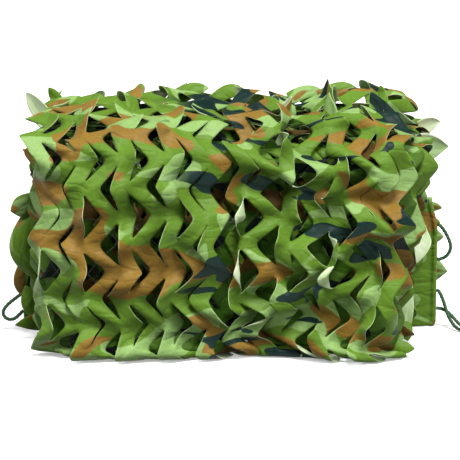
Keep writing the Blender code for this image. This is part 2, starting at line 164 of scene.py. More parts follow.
# --- loose leaves ---
# Columns are root, tip, bow (how far the middle stands off the straight line between them) and half width,
# in millimetres; the share of it at the root and how blunt the tip is; the direction of its right-hand side;
# and its place in the print, in metres.
DOWN, UP, LEFT, RIGHT = (0, 0, -1), (0, 0, 1), (-1, 0, 0), (1, 0, 0)
EDGE_LEAVES = (
    # the left end, from above
    ((-248, 70, 282), (-279, 95, 312), (2, 0, -4), 14.5, (1, 4), UP, (0.02, 0.60)),
    ((-235, 100, 298), (-248, 100, 318), (0, 0, 0), 8, (1, 3), DOWN, (0.06, 0.66)),
    ((-246, -20, 180), (-291, -36, 174), (0, -8, 4), 16.5, (1, 6), DOWN, (0.02, 0.60)),
    ((-246, -4, 176), (-284, 4, 164), (0, 4, 2), 12, (1, 4), UP, (0.02, 0.10)),
    ((-254, -30, 172), (-258, -34, 80), (-22, -13, 0), 16, (1, 4), RIGHT, (0.02, 0.56)),
    ((-262, 0, 106), (-280, 0, 48), (-9, -5, 0), 11, (1, 6), RIGHT, (0.12, 0.30)),
    ((-268, -20, 66), (-266, -20, 22), (-6, -6, 0), 8, (1, 3), RIGHT, (0.04, 0.58)),
    ((-250, -30, 20), (-287, -50, 21), (0, -4, 2), 12, (1, 2), DOWN, (0.15, 0.52)),
    # along the back of the top, from the left
    ((-78, 118, 296), (-28, 124, 313), (0, 0, 6), 12, (1, 4), (0, 0.5, 0.87), (0.20, 0.42)),
    ((-22, 124, 296), (26, 118, 304), (0, 0, 10), 11, (1, 4), (0, 0.5, 0.87), (0.31, 0.12)),
    ((82, 112, 300), (132, 118, 308), (0, 0, 6), 10, (1, 4), (0, 0.5, 0.87), (0.02, 0.60)),
    ((128, 112, 302), (178, 118, 312), (0, 0, 6), 12, (1, 4), (0, 0.5, 0.87), (0.10, 0.30)),
    # the right end, from above
    ((186, 70, 300), (244, 70, 309), (0, -6, 6), 13, (1, 3), (0, 0.6, 0.8), (0.16, 0.82)),
    ((262, 90, 262), (290, 90, 272), (0, 0, 2), 11, (1, 3), DOWN, (0.14, 0.80)),
    ((256, 80, 234), (301, 80, 239), (0, 4, 2), 23, (1, 2), DOWN, (0.10, 0.72)),
    ((262, 60, 157), (292, 60, 157), (0, 0, 2), 7, (1, 5), UP, (0.02, 0.60)),
    ((264, 60, 136), (290, 60, 136), (0, 0, 2), 7, (1, 5), UP, (0.07, 0.60)),
    ((268, 50, 120), (294, 50, 119), (0, 0, 0), 12, (1, 3), UP, (0.05, 0.62)),
    ((264, 50, 74), (300, 50, 70), (0, 0, 0), 34, (1, 1.2), UP, (0.02, 0.60)),
    # two blunt lobes at the foot of the right end
    ((232, -55, 34), (238, -68, 4), (0, -6, 0), 9.5, (1, 5), RIGHT, (0.02, 0.10)),
    ((192, -122, 14), (242, -134, 12), (0, -6, 2), 10, (1, 6), (0, 0.4, 0.9), (0.05, 0.06)),
    # two that turn their pale backs out in front of the hem
    ((260, -22, 152), (249, -50, 106), (2, -6, 0), 15, (0.2, 2), LEFT, (0.08, 1.12)),
    ((242, -30, 72), (240, -60, 14), (-3, -10, 0), 9, (0.5, 3), LEFT, (0.14, 1.20)),
)

# --- camera ---
ELEVATION = math.radians(13)
DISTANCE = 3.0
FRAME_WIDTH = 0.590  # what the picture spans at the front of the bundle
AIM = (0.001, -0.149, 0.1744)
SENSOR = 36.0

# --- the studio ---
FLOOR_REACH, FLOOR_Z = 6.0, -0.0006
FLOOR_GLOW = 0.35  # lifts the paper to the photograph's white
SURROUND = 0.055
# Name, where the light comes from, strength, and how wide it is in degrees.
LIGHTS = (
    ("key", (0.12, -0.36, 1.0), 3.9, 22),
    ("left", (-0.9, -0.3, 0.8), 1.6, 30),
    ("right", (0.8, -0.75, 0.6), 1.5, 50),
)

# --- the print ---
# Each colour that lies over the green is where a field of noise passes a level.  Columns are the field's
# shift, the size of its patches, their slant in radians, how many times as long as wide they are, the level.
SAGE_FIELD = (3.1, 0.095, 0.6, 1.7, 0.54)
BROWN_FIELD = (7.7, 0.100, 0.6, 1.7, 0.570)
TEAL_FIELD = (12.3, 0.085, -0.5, 2.2, 0.610)
TEAL_START = (0.16, 0.21)  # across the print, in metres: the teal blotches fade in between these
PRINT_EDGE = 0.004  # how soft the edge of a colour is, as a part of its field
MOTTLE_TONE = (0.80, 0.83, 0.78, 1)  # what the fine random clouds leave of the colour


def add_object(name, data):
    """A new object in the scene, at the origin."""
    made = bpy.data.objects.new(name, data)
    bpy.context.scene.collection.objects.link(made)
    return made


def place_camera():
    """A long lens at the photograph's height, straight on."""
    data = bpy.data.cameras.new("camera")
    data.sensor_width = SENSOR
    data.lens = SENSOR * DISTANCE / FRAME_WIDTH
    data.clip_end = 100
    camera = add_object("camera", data)
    back, up = -math.cos(ELEVATION) * DISTANCE, math.sin(ELEVATION) * DISTANCE
    camera.location = (AIM[0], AIM[1] + back, AIM[2] + up)
    camera.rotation_euler = (math.pi / 2 - ELEVATION, 0, 0)
    bpy.context.scene.camera = camera


def random_field(seed, size, waves=26):
    """A smooth random field, about -1 to 1: a sum of cosine waves about size long in random directions."""
    rng = np.random.default_rng(seed)
    heading = rng.normal(size=(waves, 3))
    heading /= np.linalg.norm(heading, axis=1)[:, None]
    turns = heading * rng.uniform(0.6, 1.4, (waves, 1)) * 2 * np.pi / size
    phases = rng.uniform(0, 2 * np.pi, waves)

    def field(place):
        """The field's value at each place."""
        return np.cos(place @ turns.T + phases).sum(axis=-1) / math.sqrt(waves)

    return field


def drift(place, axes, seeds, size, reaches):
    """A smooth random shift of each place: along each axis by its own random field times its reach."""
    shifts = [
        (reach * random_field(seed, size)(place))[:, None] * axis
        for seed, reach, axis in zip(seeds, reaches, axes)
    ]
    return sum(shifts)


def soft_step(value, low, high):
    """0 below low, 1 above high, and a smooth turn between them."""
    t = np.clip((value - low) / (high - low), 0, 1)
    return t * t * (3 - 2 * t)


def eased(pair, here):
    """The first of a pair where here is 0, and the second added to it where here is 1."""
    return pair[0] + pair[1] * here


def hump(value, low, high, edge):
    """1 between low and high, and down to 0 over the edge beyond them."""
    return soft_step(value, low - edge, low) * (1 - soft_step(value, high, high + edge))


def unit(vectors):
    """The same directions, one long."""
    return vectors / np.maximum(np.linalg.norm(vectors, axis=-1, keepdims=True), 1e-12)


def new_piece(name, slot, points, faces, materials):
    """A mesh piece at the origin, with its materials.  The slot is not used."""
    mesh = bpy.data.meshes.new(name)
    mesh.from_pydata(points, [], faces)
    mesh.polygons.foreach_set("use_smooth", np.full(len(faces), True))
    piece = add_object(name, mesh)
    for material in materials:
        mesh.materials.append(material)
    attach(piece, "root")
    return piece


def set_uv(piece, uv_of_points):
    """Gives the piece its place on the flat cloth, in metres, as its UV map."""
    mesh = piece.data
    corner = np.empty(len(mesh.loops), np.int32)
    mesh.loops.foreach_get("vertex_index", corner)
    layer = mesh.uv_layers.new(name="flat_cloth")
    layer.uv.foreach_set("vector", uv_of_points[corner].astype(np.float32).ravel())


# --- cords ---
def smooth_line(knots, spacing):
    """A smooth line through the knots (Catmull-Rom), with its points evenly spaced along it."""
    knots = np.asarray(knots, float)
    ends = (2 * knots[0] - knots[1], 2 * knots[-1] - knots[-2])
    p = np.vstack([ends[0], knots, ends[1]])
    t = np.linspace(0, 1, 40, endpoint=False)[None, :, None]
    a, b, c, d = (p[i : len(p) - 3 + i, None, :] for i in range(4))
    line = 0.5 * (2 * b + (c - a) * t + (2 * a - 5 * b + 4 * c - d) * t**2 + (3 * b - a - 3 * c + d) * t**3)
    line = np.vstack([line.reshape(-1, 3), knots[-1]])
    at = along_line(line)
    even = np.linspace(0, at[-1], max(2, round(at[-1] / spacing)) + 1)
    return np.stack([np.interp(even, at, line[:, axis]) for axis in range(3)], axis=-1)


def along_line(line):
    """The distance of each point of a line from its start."""
    return np.concatenate([[0], np.cumsum(np.linalg.norm(np.diff(line, axis=0), axis=1))])


def side_directions(line):
    """Two directions square to a line at each of its points, carried along it without a twist."""
    ahead = unit(np.gradient(line, axis=0))
    side = np.empty_like(line)
    last = unit(np.cross(ahead[0], (0.31, 0.83, 0.47)))
    for index, direction in enumerate(ahead):
        last = unit(last - direction * (last @ direction))
        side[index] = last
    return side, np.cross(ahead, side)


def ring_faces(rings, around, closed=True):
    """The faces between so many rings of points, with four points each."""
    ring, step = np.meshgrid(np.arange(rings - 1), np.arange(around - (not closed)), indexing="ij")
    a, b = ring * around + step, ring * around + (step + 1) % around
    return np.stack([a, b, b + around, a + around], axis=-1).reshape(-1, 4)


def tube(line, radius, around):
    """Points and faces of a closed tube: a ring of so many points around each point of the line.

    The radius is a number, or an array with one for each point of the line and each point around.
    """
    side, up = side_directions(line)
    angle = np.arange(around) * 2 * np.pi / around
    reach = np.broadcast_to(radius, (len(line), around))[..., None]
    turned = side[:, None] * np.cos(angle)[:, None] + up[:, None] * np.sin(angle)[:, None]
    points = np.vstack([(line[:, None] + reach * turned).reshape(-1, 3), line[0], line[-1]])
    first, after = np.arange(around), (np.arange(around) + 1) % around
    tail = (len(line) - 1) * around
    start = np.stack([np.full(around, len(points) - 2), after, first], axis=-1)
    end = np.stack([np.full(around, len(points) - 1), tail + first, tail + after], axis=-1)
    return points, ring_faces(len(line), around).tolist() + start.tolist() + end.tolist()


def joined(meshes):
    """The points and faces of several meshes as those of one."""
    all_points, all_faces, shift = [], [], 0
    for points, faces in meshes:
        all_points.append(points)
        all_faces += [[i + shift for i in face] for face in faces]
        shift += len(points)
    return np.vstack(all_points), all_faces


def make_cord(name, node, knots, hem, side, material):
    """One visible stretch of the edge cord: a twisted rope of three strands.

    Its radius is full over each strand and least in the grooves, which wind once round in each pitch.
    """
    out, forward, z = np.array(knots).T / MM_IN_A_METRE
    place = np.stack([hem[0] + side * (out + CORD_CLEAR), hem[1] + forward, z], axis=-1)
    line = smooth_line(place, CORD_STEP)
    run = along_line(line)
    around = 18
    angle = np.arange(around) * 2 * np.pi / around
    on_strand = np.abs(np.cos(1.5 * (angle[None, :] - run[:, None] * 2 * np.pi / CORD_PITCH)))
    points, faces = tube(line, CORD / 2 * (1 - CORD_GROOVE * (1 - on_strand)), around)
    cord = new_piece(name, "edge_cord", points, faces, [material])
    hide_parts(node)


# --- the bundle's surface ---
def arc(centre, radius, start, end, steps):
    """Points along an arc in the YZ plane, from the angle start to end in degrees, without the first."""
    angles = np.radians(np.linspace(start, end, steps + 1)[1:])
    return [(centre[0] + radius * math.cos(a), centre[1] + radius * math.sin(a)) for a in angles]


def wrap_section():
    """The wrap's section: up the back, over the top, down the front and back underneath."""
    line = [(WRAP_BACK_Y, LAYER_LOW_Z), (WRAP_BACK_Y, WRAP_TOP_Z - BACK_CORNER)]
    line += arc((WRAP_BACK_Y - BACK_CORNER, WRAP_TOP_Z - BACK_CORNER), BACK_CORNER, 0, 90, 24)
    line.append((WRAP_FRONT_Y + TOP_CORNER, WRAP_TOP_Z))
    line += arc((WRAP_FRONT_Y + TOP_CORNER, WRAP_TOP_Z - TOP_CORNER), TOP_CORNER, 90, 180, 24)
    foot_z = BASE_Z + FOOT_CORNER
    line.append((WRAP_FRONT_Y, foot_z))
    line += arc((WRAP_FRONT_Y + FOOT_CORNER, foot_z), FOOT_CORNER, 180, 270, 12)
    line.append((BASE_END_Y, BASE_Z))
    return np.array(line)


def layers_section():
    """The section of the upright layers: back and forth from the free end to the foot of the back."""
    line = []
    for index in range(LAYERS):
        upward = index % 2 == 0
        y = FIRST_LAYER_Y + LAYER_PITCH * index
        heights = (LAYER_LOW_Z, LAYER_HIGH_Z) if upward else (LAYER_HIGH_Z, LAYER_LOW_Z)
        line += [(y, heights[0]), (y, heights[1])]
        turn = arc((y + LAYER_PITCH / 2, heights[1]), LAYER_PITCH / 2, 180, 0 if upward else 360, 12)
        line += turn if index == LAYERS - 1 else turn[:-1]
    return np.array(line)


def smooth_table(x, column):
    """A column of the table at x: read at five places near by and averaged, so that it has no kinks."""
    near = np.linspace(-0.03, 0.03, 5)
    values = [np.interp(x + shift, UNEVEN[:, 0], UNEVEN[:, column]) for shift in near]
    return np.mean(values, axis=0)


def valley(x, z):
    """1 on the line of the crease along the front, which wanders up and down, and 0 away from it."""
    sways = [height * np.sin(2 * np.pi * x / length + phase) for height, length, phase in VALLEY_SWAYS]
    middle = VALLEY_Z + sum(sways)
    return np.exp(-(((z - middle) / VALLEY_WIDTH) ** 2))


def uneven(place):
    """Lets the pile sag and bulge.

    Its top rises and its front reaches as the table says, more so towards the front; the front bulges at
    half its height, is creased above that and spreads at its foot; its left end is drawn in at the floor and
    its right end up to half its height; and both ends are drawn in towards the middle of the pile's depth.
    """
    x, y, z = np.moveaxis(place, -1, 0)
    height_share = np.clip(z / WRAP_TOP_Z, 0, 1)
    at_foot = 1 - soft_step(z, 0.0, FOOT_HEIGHT)
    reach = smooth_table(x, 2) * (1 + FOOT_SPREAD * at_foot)
    reach += BELLY * np.sin(np.pi * height_share) - VALLEY_DEPTH * valley(x, z)
    past_start = np.maximum(0, np.abs(x) - END_START) / END_RUN
    drawn_in = np.minimum(END_LIMIT, END_CURL * past_start**2)
    front_share = np.maximum(0, y / WRAP_FRONT_Y)
    rise = height_share * smooth_table(x, 1)
    below = 1 - soft_step(z, RIGHT_TUCK_LOW, RIGHT_TUCK_HIGH)
    tuck = LEFT_FOOT_TUCK * np.minimum(x, 0) * at_foot + RIGHT_TUCK * np.maximum(x, 0) * below
    x = x - tuck * soft_step(front_share, 0.3, 0.8)
    return np.stack([x, y * (1 - drawn_in) - front_share * reach, z + rise], axis=-1) + CENTRING


def on_section(line, x, run, out_by=0.0):
    """Places on the bundle at x across and run along a section, with the directions across, along, out."""
    at = along_line(line)

    def place(x, run):
        y, z = np.interp(run, at, line[:, 0]), np.interp(run, at, line[:, 1])
        return uneven(np.stack([x, y, z], axis=-1))

    step = 0.004
    ahead = place(x, run + step) - place(x, run - step)
    across = place(x + step, run) - place(x - step, run)
    out, ahead = unit(np.cross(ahead, across)), unit(ahead)
    return place(x, run) + np.asarray(out_by)[..., None] * out, (unit(np.cross(out, ahead)), ahead, out)


# --- the cloth ---
class LeafCloth:
    """A flat strip of cloth with staggered wavy cuts, as a net of points and faces.

    Cut lines run along the strip, one ribbon apart, and swing from side to side in step with each other,
    as the cosine of their turn plus a tenth of the cosine of three times that turn.
    Each is cut in stretches that leave a short bridge once a wave; those of even lines lie round the
    wave's left ends and those of odd lines round its right ends.  A point on an open cut is there twice,
    once for the faces on its left and once for those on its right.
    """

    def __init__(self, ribbons, sub, half_wave, length):
        self.half = len(half_wave)
        wave = 2 * half_wave.sum()
        steps = np.tile(half_wave, math.ceil(length / half_wave.sum()))
        v = np.concatenate([[0], np.cumsum(steps)])
        v = v[v <= length + half_wave.sum() / self.half]
        turn = (v - wave / 2 - half_wave[0]) * 2 * np.pi / wave
        swing = -WAVE_REACH * (np.cos(turn) + WAVE_POINT * np.cos(3 * turn)) / (1 + WAVE_POINT)
        rows, columns = len(v), ribbons * sub + 1
        u = np.arange(columns) * RIBBON / sub
        flat = np.stack(np.broadcast_arrays(u[None, :] + swing[:, None], v[:, None]), axis=-1)
        self.left = np.arange(rows * columns).reshape(rows, columns)
        self.right = self.left.copy()
        row = np.arange(rows)[:, None]
        line = (np.arange(columns) // sub)[None, :]
        on_line = (np.arange(columns) % sub == 0)[None, :] & (line > 0) & (line < ribbons)
        phase = (row - self.half * (line % 2)) % (2 * self.half)
        self.open = on_line & (phase > BRIDGE_ROWS) & (row > 1) & (row < rows - 2)
        self.right[self.open] = rows * columns + np.arange(self.open.sum())
        self.flat = np.concatenate([flat.reshape(-1, 2), flat[self.open]])
        self.bridges = self.left[on_line & (phase <= BRIDGE_ROWS)]
        self.width, self.length = ribbons * RIBBON, float(v[-1])
        self.ribbons, self.sub = ribbons, sub

    def faces(self):
        """Four points for each face, so that its outer side is the one that the section calls out."""
        a, b = self.right[:-1, :-1], self.right[1:, :-1]
        c, d = self.left[1:, 1:], self.left[:-1, 1:]
        return np.stack([a, b, c, d], axis=-1).reshape(-1, 4)

    def lifts(self, strength_of, flip_share, seed):
        """How strongly each point of a cut stands up (+) or hangs in (-): most at the middle of its cut.

        The rounded tongue of a cut stands up and the hollow that it left hangs in.  A cut's strength is
        drawn at random, and flip_share of the cuts do it the other way round.  The second array says on
        which side of its cut a point is: -1 is the left and 1 the right.
        """
        rng = np.random.default_rng(seed)
        j, c = np.nonzero(self.open)
        k = c // self.sub
        past = j - self.half * (k % 2) + 2 * self.half
        wave = past // (2 * self.half)
        rows_open = 2 * self.half - BRIDGE_ROWS
        middle = np.sin(np.pi * (past % (2 * self.half) - BRIDGE_ROWS) / rows_open)
        strength = rng.uniform(*strength_of, (self.ribbons + 1, wave.max() + 1))
        drawn = rng.uniform(size=strength.shape)
        flip = drawn[k, wave] < flip_share
        amount = np.where(k % 2, 1.0, -1.0) * np.where(flip, -1, 1) * strength[k, wave] * middle
        lifts, backwards = np.zeros((2, len(self.flat)))
        lifts[self.left[j, c]] = amount
        lifts[self.right[j, c]] = -amount
        backwards[self.left[j, c]] = -1
        backwards[self.right[j, c]] = 1
        return lifts, backwards

    def links(self, shear, bend):
        """Batches of point pairs with the flat distance between them, no point twice in a batch."""
        left, right = self.left, self.right
        rows, columns = left.shape
        batches = []

        def add(a, b, strength, keep=None):
            keep = np.ones(a.shape, bool) if keep is None else keep
            a, b = a[keep], b[keep]
            if len(a):
                rest = np.linalg.norm(self.flat[a] - self.flat[b], axis=1)
                batches.append((a, b, rest, strength))

        twice = left != right
        for start in (0, 1):
            here, after = slice(start, -1, 2), slice(start + 1, None, 2)
            add(right[:, here], left[:, after], 1.0)
            add(left[here], left[after], 1.0)
            add(right[here], right[after], 1.0, twice[here] | twice[after])
            add(right[here, :-1], left[after, 1:], shear)
            add(left[here, 1:], right[after, :-1], shear)
        whole = ~twice[:, 1:-1]
        other = twice[:-2] | twice[1:-1] | twice[2:]
        for pair in ((0, 1), (2, 3)):
            across = np.isin(np.arange(columns - 2) % 4, pair)[None, :]
            add(right[:, :-2], left[:, 2:], bend, whole & across)
            down = np.isin(np.arange(rows - 2) % 4, pair)[:, None]
            add(left[:-2], left[2:], bend, np.broadcast_to(down, left[:-2].shape))
            add(right[:-2], right[2:], bend, other & down)
        return batches


def settle(points, batches, steps, pins, targets, grip, push, base, out, low, high):
    """Lets the cloth settle, by position-based steps.

    In each step a point moves on by most of its last move plus its push, which fades to a quarter.  The
    pins are drawn to their targets by their grip; every point stays between low and high above its base,
    along the direction out; and each link then draws its two points to its length, twice in the second half.
    """
    last = points.copy()
    for step in range(steps):
        ease = max(0.25, 1 - 1.2 * step / steps)
        now = points + KEEP * (points - last) + ease * push
        now[pins] += grip[:, None] * (targets - now[pins])
        above = np.einsum("ij,ij->i", now - base, out)
        now += (np.clip(above, low, high) - above)[:, None] * out
        now[:, 2] = np.maximum(now[:, 2], FLOOR_CLEAR)
        for a, b, rest, strength in batches * (1 if step < 0.5 * steps else 2):
            gap = now[b] - now[a]
            length = np.sqrt(np.einsum("ij,ij->i", gap, gap)) + 1e-9
            shift = gap * (0.5 * strength * (1 - rest / length))[:, None]
            now[a] += shift
            now[b] -= shift
        last, points = points, now
    points[:, 2] = np.maximum(points[:, 2], FLOOR_CLEAR)
    return points


def cloth_piece(name, cloth, points, print_at, materials):
    """The settled cloth as a piece, with its thickness; its UV map is the flat cloth in metres."""
    piece = new_piece(name, "camouflage_cloth", points, cloth.faces(), materials)
    set_uv(piece, cloth.flat + print_at)
    finish_cloth(piece)
    return piece


def finish_cloth(piece):
    """Rounds a cloth piece once and gives it its thickness, with its back and its cut edge."""
    smooth = piece.modifiers.new("smooth", "SUBSURF")
    smooth.levels = smooth.render_levels = 1
    wall = piece.modifiers.new("cloth", "SOLIDIFY")
    wall.thickness = CLOTH
    wall.offset = 0.0
    wall.material_offset = 1
    wall.material_offset_rim = 2


def make_wrap(name, ribbons, edges, slack, spare, seed, materials, print_at):
    """One part of the outer turn of the net.

    spare is how much longer the cloth is than the way that it covers.  Where the cloth is slack its bridges
    stray further, its leaves stand up and curl more, and more of them turn the other way.  It is slacker
    along the crease, and calm in patches.
    """
    line = wrap_section()
    length = along_line(line)[-1]
    cloth = LeafCloth(ribbons, FINE_SUB, HALF_WAVE_ROWS, length * spare)
    u, v = cloth.flat.T
    x = edges[0] + u * (edges[1] - edges[0]) / cloth.width
    base, axes = on_section(line, x, v * length / cloth.length)
    across, _, out = axes
    x, y, z = base.T
    on_top = soft_step(z, 0.20, 0.28)
    at_foot = (1 - soft_step(z, 0.0, FOOT_HEIGHT)) * (y < -0.1)
    under = (z < 0.010) & (y > WRAP_FRONT_Y + 0.02)
    loose = ~under * 1.0
    calm = soft_step(random_field(seed + 8, CALM_WAVE)(base), -0.2, 0.7)
    here = np.minimum(1.0, slack * (1 - CALM * calm) + CREASE_SLACK * valley(x, z) * (y < 0))

    stray, heave = eased(STRAY, here) * loose, eased(HEAVE, here) * loose
    targets = base + drift(base, axes, (seed, seed + 1, seed + 2), STRAY_WAVE, (stray, stray, heave))
    targets += ((TOP_RISE * on_top + FOOT_RISE * at_foot) * loose)[:, None] * out
    gather = GATHER * here * loose
    gathers = (gather, gather, 0.6 * gather)
    targets += drift(base, axes, (seed + 5, seed + 6, seed + 7), GATHER_WAVE, gathers)

    lifts, backwards = cloth.lifts((0.3, 1.3 + 0.7 * slack), 0.10 + 0.34 * slack, seed + 3)
    lifts *= eased(OPENING, here) * loose * (1 - TOP_CALM * on_top)
    push = (np.where(lifts > 0, STAND_PUSH, HANG_PUSH) * lifts)[:, None] * out
    push += (BILLOW_PUSH * here * random_field(seed + 4, BILLOW_WAVE)(base) * loose)[:, None] * out
    push += (CURL_PUSH * here * np.maximum(lifts, 0) * backwards)[:, None] * across
    push[:, 2] -= WEIGHT
    low = np.where(under, -0.0008, -eased(SINK, here))
    high = np.where(under, 0.0012, eased(STAND, here))
    pins = cloth.bridges
    steps = 500
    settled = settle(
        base + 0.002 * lifts[:, None] * out, cloth.links(SHEAR, 0.5 - 0.25 * slack), steps,
        pins, targets[pins], 0.04 - 0.02 * here[pins], push, base, out, low, high,
    )
    return cloth_piece(name, cloth, settled, print_at, materials)


def settle_inner(cloth, place, axes, shift, lifts, push, grip, room, steps):
    """Lets an inner ply settle within its room on both sides of its place.

    Its bridges are drawn to their shifted places, and its leaves open by their lifts times the push.
    """
    pins = cloth.bridges
    targets = place + shift
    return settle(
        place, cloth.links(SHEAR, INNER_BEND), steps, pins, targets[pins],
        np.full(len(pins), grip), (push * lifts)[:, None] * axes[2], place, axes[2], -room, room,
    )


def make_under_ply(materials):
    """The ply right under the outer one: the same cuts, half a leaf on, pressed flatter."""
    line = wrap_section()
    at = along_line(line)
    length = at[-1] - UNDER_SHORT
    cloth = LeafCloth(UNDER_RIBBONS, COARSE_SUB, COARSE_HALF_WAVE_ROWS, length)
    u, v = cloth.flat.T
    x = WRAP_EDGES[0] + (u / cloth.width) * (WRAP_EDGES[1] - WRAP_EDGES[0])
    run = v * length / cloth.length
    at_foot = 1 - soft_step(np.interp(run, at, line[:, 1]), 0.01, 0.05)
    depth = UNDER_DEPTH + (UNDER_FOOT_DEPTH - UNDER_DEPTH) * at_foot
    place, axes = on_section(line, x, run, out_by=-depth)
    shift = drift(place, axes, (41, 42, 43), 0.10, (0.006, 0.006, 0.006))
    lifts, _ = cloth.lifts((0.2, 1.0), 0.3, 6)
    settled = settle_inner(cloth, place, axes, shift, lifts, 0.00035, 0.10, 0.006, 250)
    return cloth_piece("net_under_ply", cloth, settled, (0.61, 0.37), materials)


def make_layers(name, share, materials):
    """The upright layers inside the wrap: a share of one strip, folded back and forth, with the same cuts.

    The front ones end short at the lower right, and some others stand out of the pile.
    """
    line = layers_section()
    at = along_line(line)
    start, stop = np.array(share) * at[-1]
    cloth = LeafCloth(LAYER_RIBBONS, COARSE_SUB, COARSE_HALF_WAVE_ROWS, (stop - start) * LAYER_SPARE)
    u, v = cloth.flat.T
    left, right = LAYER_EDGES
    run = start + v * (stop - start) / cloth.length
    x = (left + right) / 2 + (u - cloth.width / 2) * (right - left) / cloth.width
    y, z = (np.interp(run, at, line[:, axis]) for axis in (0, 1))
    layer = np.clip(np.round((y - FIRST_LAYER_Y) / LAYER_PITCH), 0, LAYERS)
    stretch = -SHORT_BY * ((layer < FRONT_LAYERS) & (x > 0) & (z < SHORT_HEIGHT))
    for index, side, low, high, edge in STANDING_OUT:
        default = left if side < 0 else right
        here = (layer == index) & (x * side > 0)
        stretch += here * hump(z, low, high, 0.03) * (edge - default - stretch)
    x = x + stretch * soft_step(np.abs(x), 0.17, 0.25)
    place, axes = on_section(line, x, run)
    shift = drift(place, axes, (21, 22, 23), 0.09, (0.005, 0.005, 0.004))
    lifts, _ = cloth.lifts((0.3, 1.1), 0.2, 8)
    settled = settle_inner(cloth, place, axes, shift, lifts, 0.00030, 0.12, 0.009, 200)
    return cloth_piece(name, cloth, settled, (0.07, 1.4 + start), materials)


def make_hem(name, hem, side, heights, width, material, thread, print_at):
    """A plain margin of the net with its hem, at the end of a layer.

    Its outline in plan is a flat sheet that widens into a channel for the cord at its outer edge, carried
    up along z with a slight sway; the outer edge leans in towards its top and is snipped at its foot.
    Stitches run up both its faces beside the channel.
    """
    low, high = heights
    sways = random_field(61, 0.11)

    def put(out, aside, z):
        """Places on the hem: out from its edge, aside from its middle plane, at height z."""
        share = (z - low) / (high - low)
        back = HEM_SNIP * (1 - soft_step(z, low, low + 0.005)) + HEM_LEAN * soft_step(share, 0.75, 1.0)
        inward = np.clip(-out / width, 0, 1)
        sway = HEM_SWAY * sways(np.stack([0 * z, 0 * z, z], axis=-1)) - HEM_BOW * (1 - 0.4 * share)
        return np.stack([hem[0] + side * (out - back), hem[1] + aside + inward * sway, z], axis=-1)

    z = np.linspace(low, high, 60)
    face = [(-width, -HEM_HALF), (-0.6 * width, -HEM_HALF), (-0.3 * width, -HEM_HALF)]
    face += [(-0.0092, -HEM_HALF), (-0.0074, -HEM_HALF), (-0.0062, -0.0016), (-0.0050, -0.0027)]
    angles = np.radians(np.linspace(-75, 75, 9))
    plan = face + [(CHANNEL * (math.cos(a) - 1), CHANNEL * math.sin(a)) for a in angles]
    plan = np.array(plan + [(out, -aside) for out, aside in reversed(face)])
    around = len(plan)
    out, aside, height = np.broadcast_arrays(plan[None, :, 0], plan[None, :, 1], z[:, None])
    points = put(out, aside, height).reshape(-1, 3)
    faces = ring_faces(len(z), around).tolist()
    top = (len(z) - 1) * around
    for index in range(around // 2):
        strip = list(dict.fromkeys([index, around - 1 - index, around - 2 - index, index + 1]))
        if len(strip) > 2:
            faces.append(strip)
            faces.append([top + i for i in reversed(strip)])
    if side < 0:
        faces = [turned[::-1] for turned in faces]
    piece = new_piece(name, "camouflage_cloth", points, faces, [material])
    along = along_line(plan)
    half_way = along[-1] / 2
    across = np.minimum(along, 2 * half_way - along)
    flat = np.stack(np.broadcast_arrays(across[None, :], z[:, None]), axis=-1).reshape(-1, 2)
    set_uv(piece, flat + print_at)
    make_stitches(f"{name}_stitches", put, (low + 0.006, high - 0.004), thread)


def make_stitches(name, put, heights, material):
    """A row of lock stitches up each face of a hem: short threads that arch out of the cloth."""
    threads = []
    rise = np.linspace(-STITCH_HALF, STITCH_HALF, 5)
    arch = HEM_HALF - 0.0001 + STITCH_RISE * np.cos(np.linspace(-np.pi / 2, np.pi / 2, 5))
    for at in np.arange(*heights, STITCH_PITCH):
        for face in (-1, 1):
            line = put(np.full(5, -STITCH_LINE), face * arch, at + rise)
            threads.append(tube(line, SEWING_THREAD / 2, 5))
    new_piece(name, "edge_cord", *joined(threads), [material])


def make_edge_leaves(materials):
    """The loose leaves that stand out at the bundle's outline, each a bowed strip with a rounded tip.

    A leaf's middle line runs straight from root to tip, plus its bow times the sine of half a turn on the
    way.  It widens from its root's share to its full width half way, and narrows almost to a point with a
    power of its run that says how blunt it is.  Its sides fall back by a fifth of the half width at their
    edges, by the square of how far out they are.
    """
    t, side = np.linspace(0, 1, 15)[:, None], np.linspace(-1, 1, 7)
    one_leaf = ring_faces(len(t), len(side), closed=False)[:, [0, 3, 2, 1]]
    leaves, flat = [], []
    for root, tip, bow, half_width, ends, right_hand, print_at in EDGE_LEAVES:
        root, tip, bow = np.array((root, tip, bow)) / MM_IN_A_METRE
        root_share, blunt = ends
        line = root + (tip - root) * t + bow * np.sin(np.pi * t)
        widening = root_share + (1 - root_share) * soft_step(t, 0, 0.5)
        half = half_width / MM_IN_A_METRE * (1.02 - t**blunt) * widening
        ahead = unit(np.gradient(line, axis=0))
        across = unit(np.array(right_hand) - ahead * (ahead @ right_hand)[:, None])
        out = np.cross(ahead, across)
        place = line[:, None] + (half * side)[..., None] * across[:, None]
        place = place - (0.2 * half * side**2)[..., None] * out[:, None]
        leaves.append((place.reshape(-1, 3), one_leaf))
        at = np.stack(np.broadcast_arrays(along_line(line)[:, None], half * side), axis=-1)
        flat.append(at.reshape(-1, 2) + print_at)
    piece = new_piece("edge_leaves", "camouflage_cloth", *joined(leaves), materials)
    set_uv(piece, np.vstack(flat))
    finish_cloth(piece)


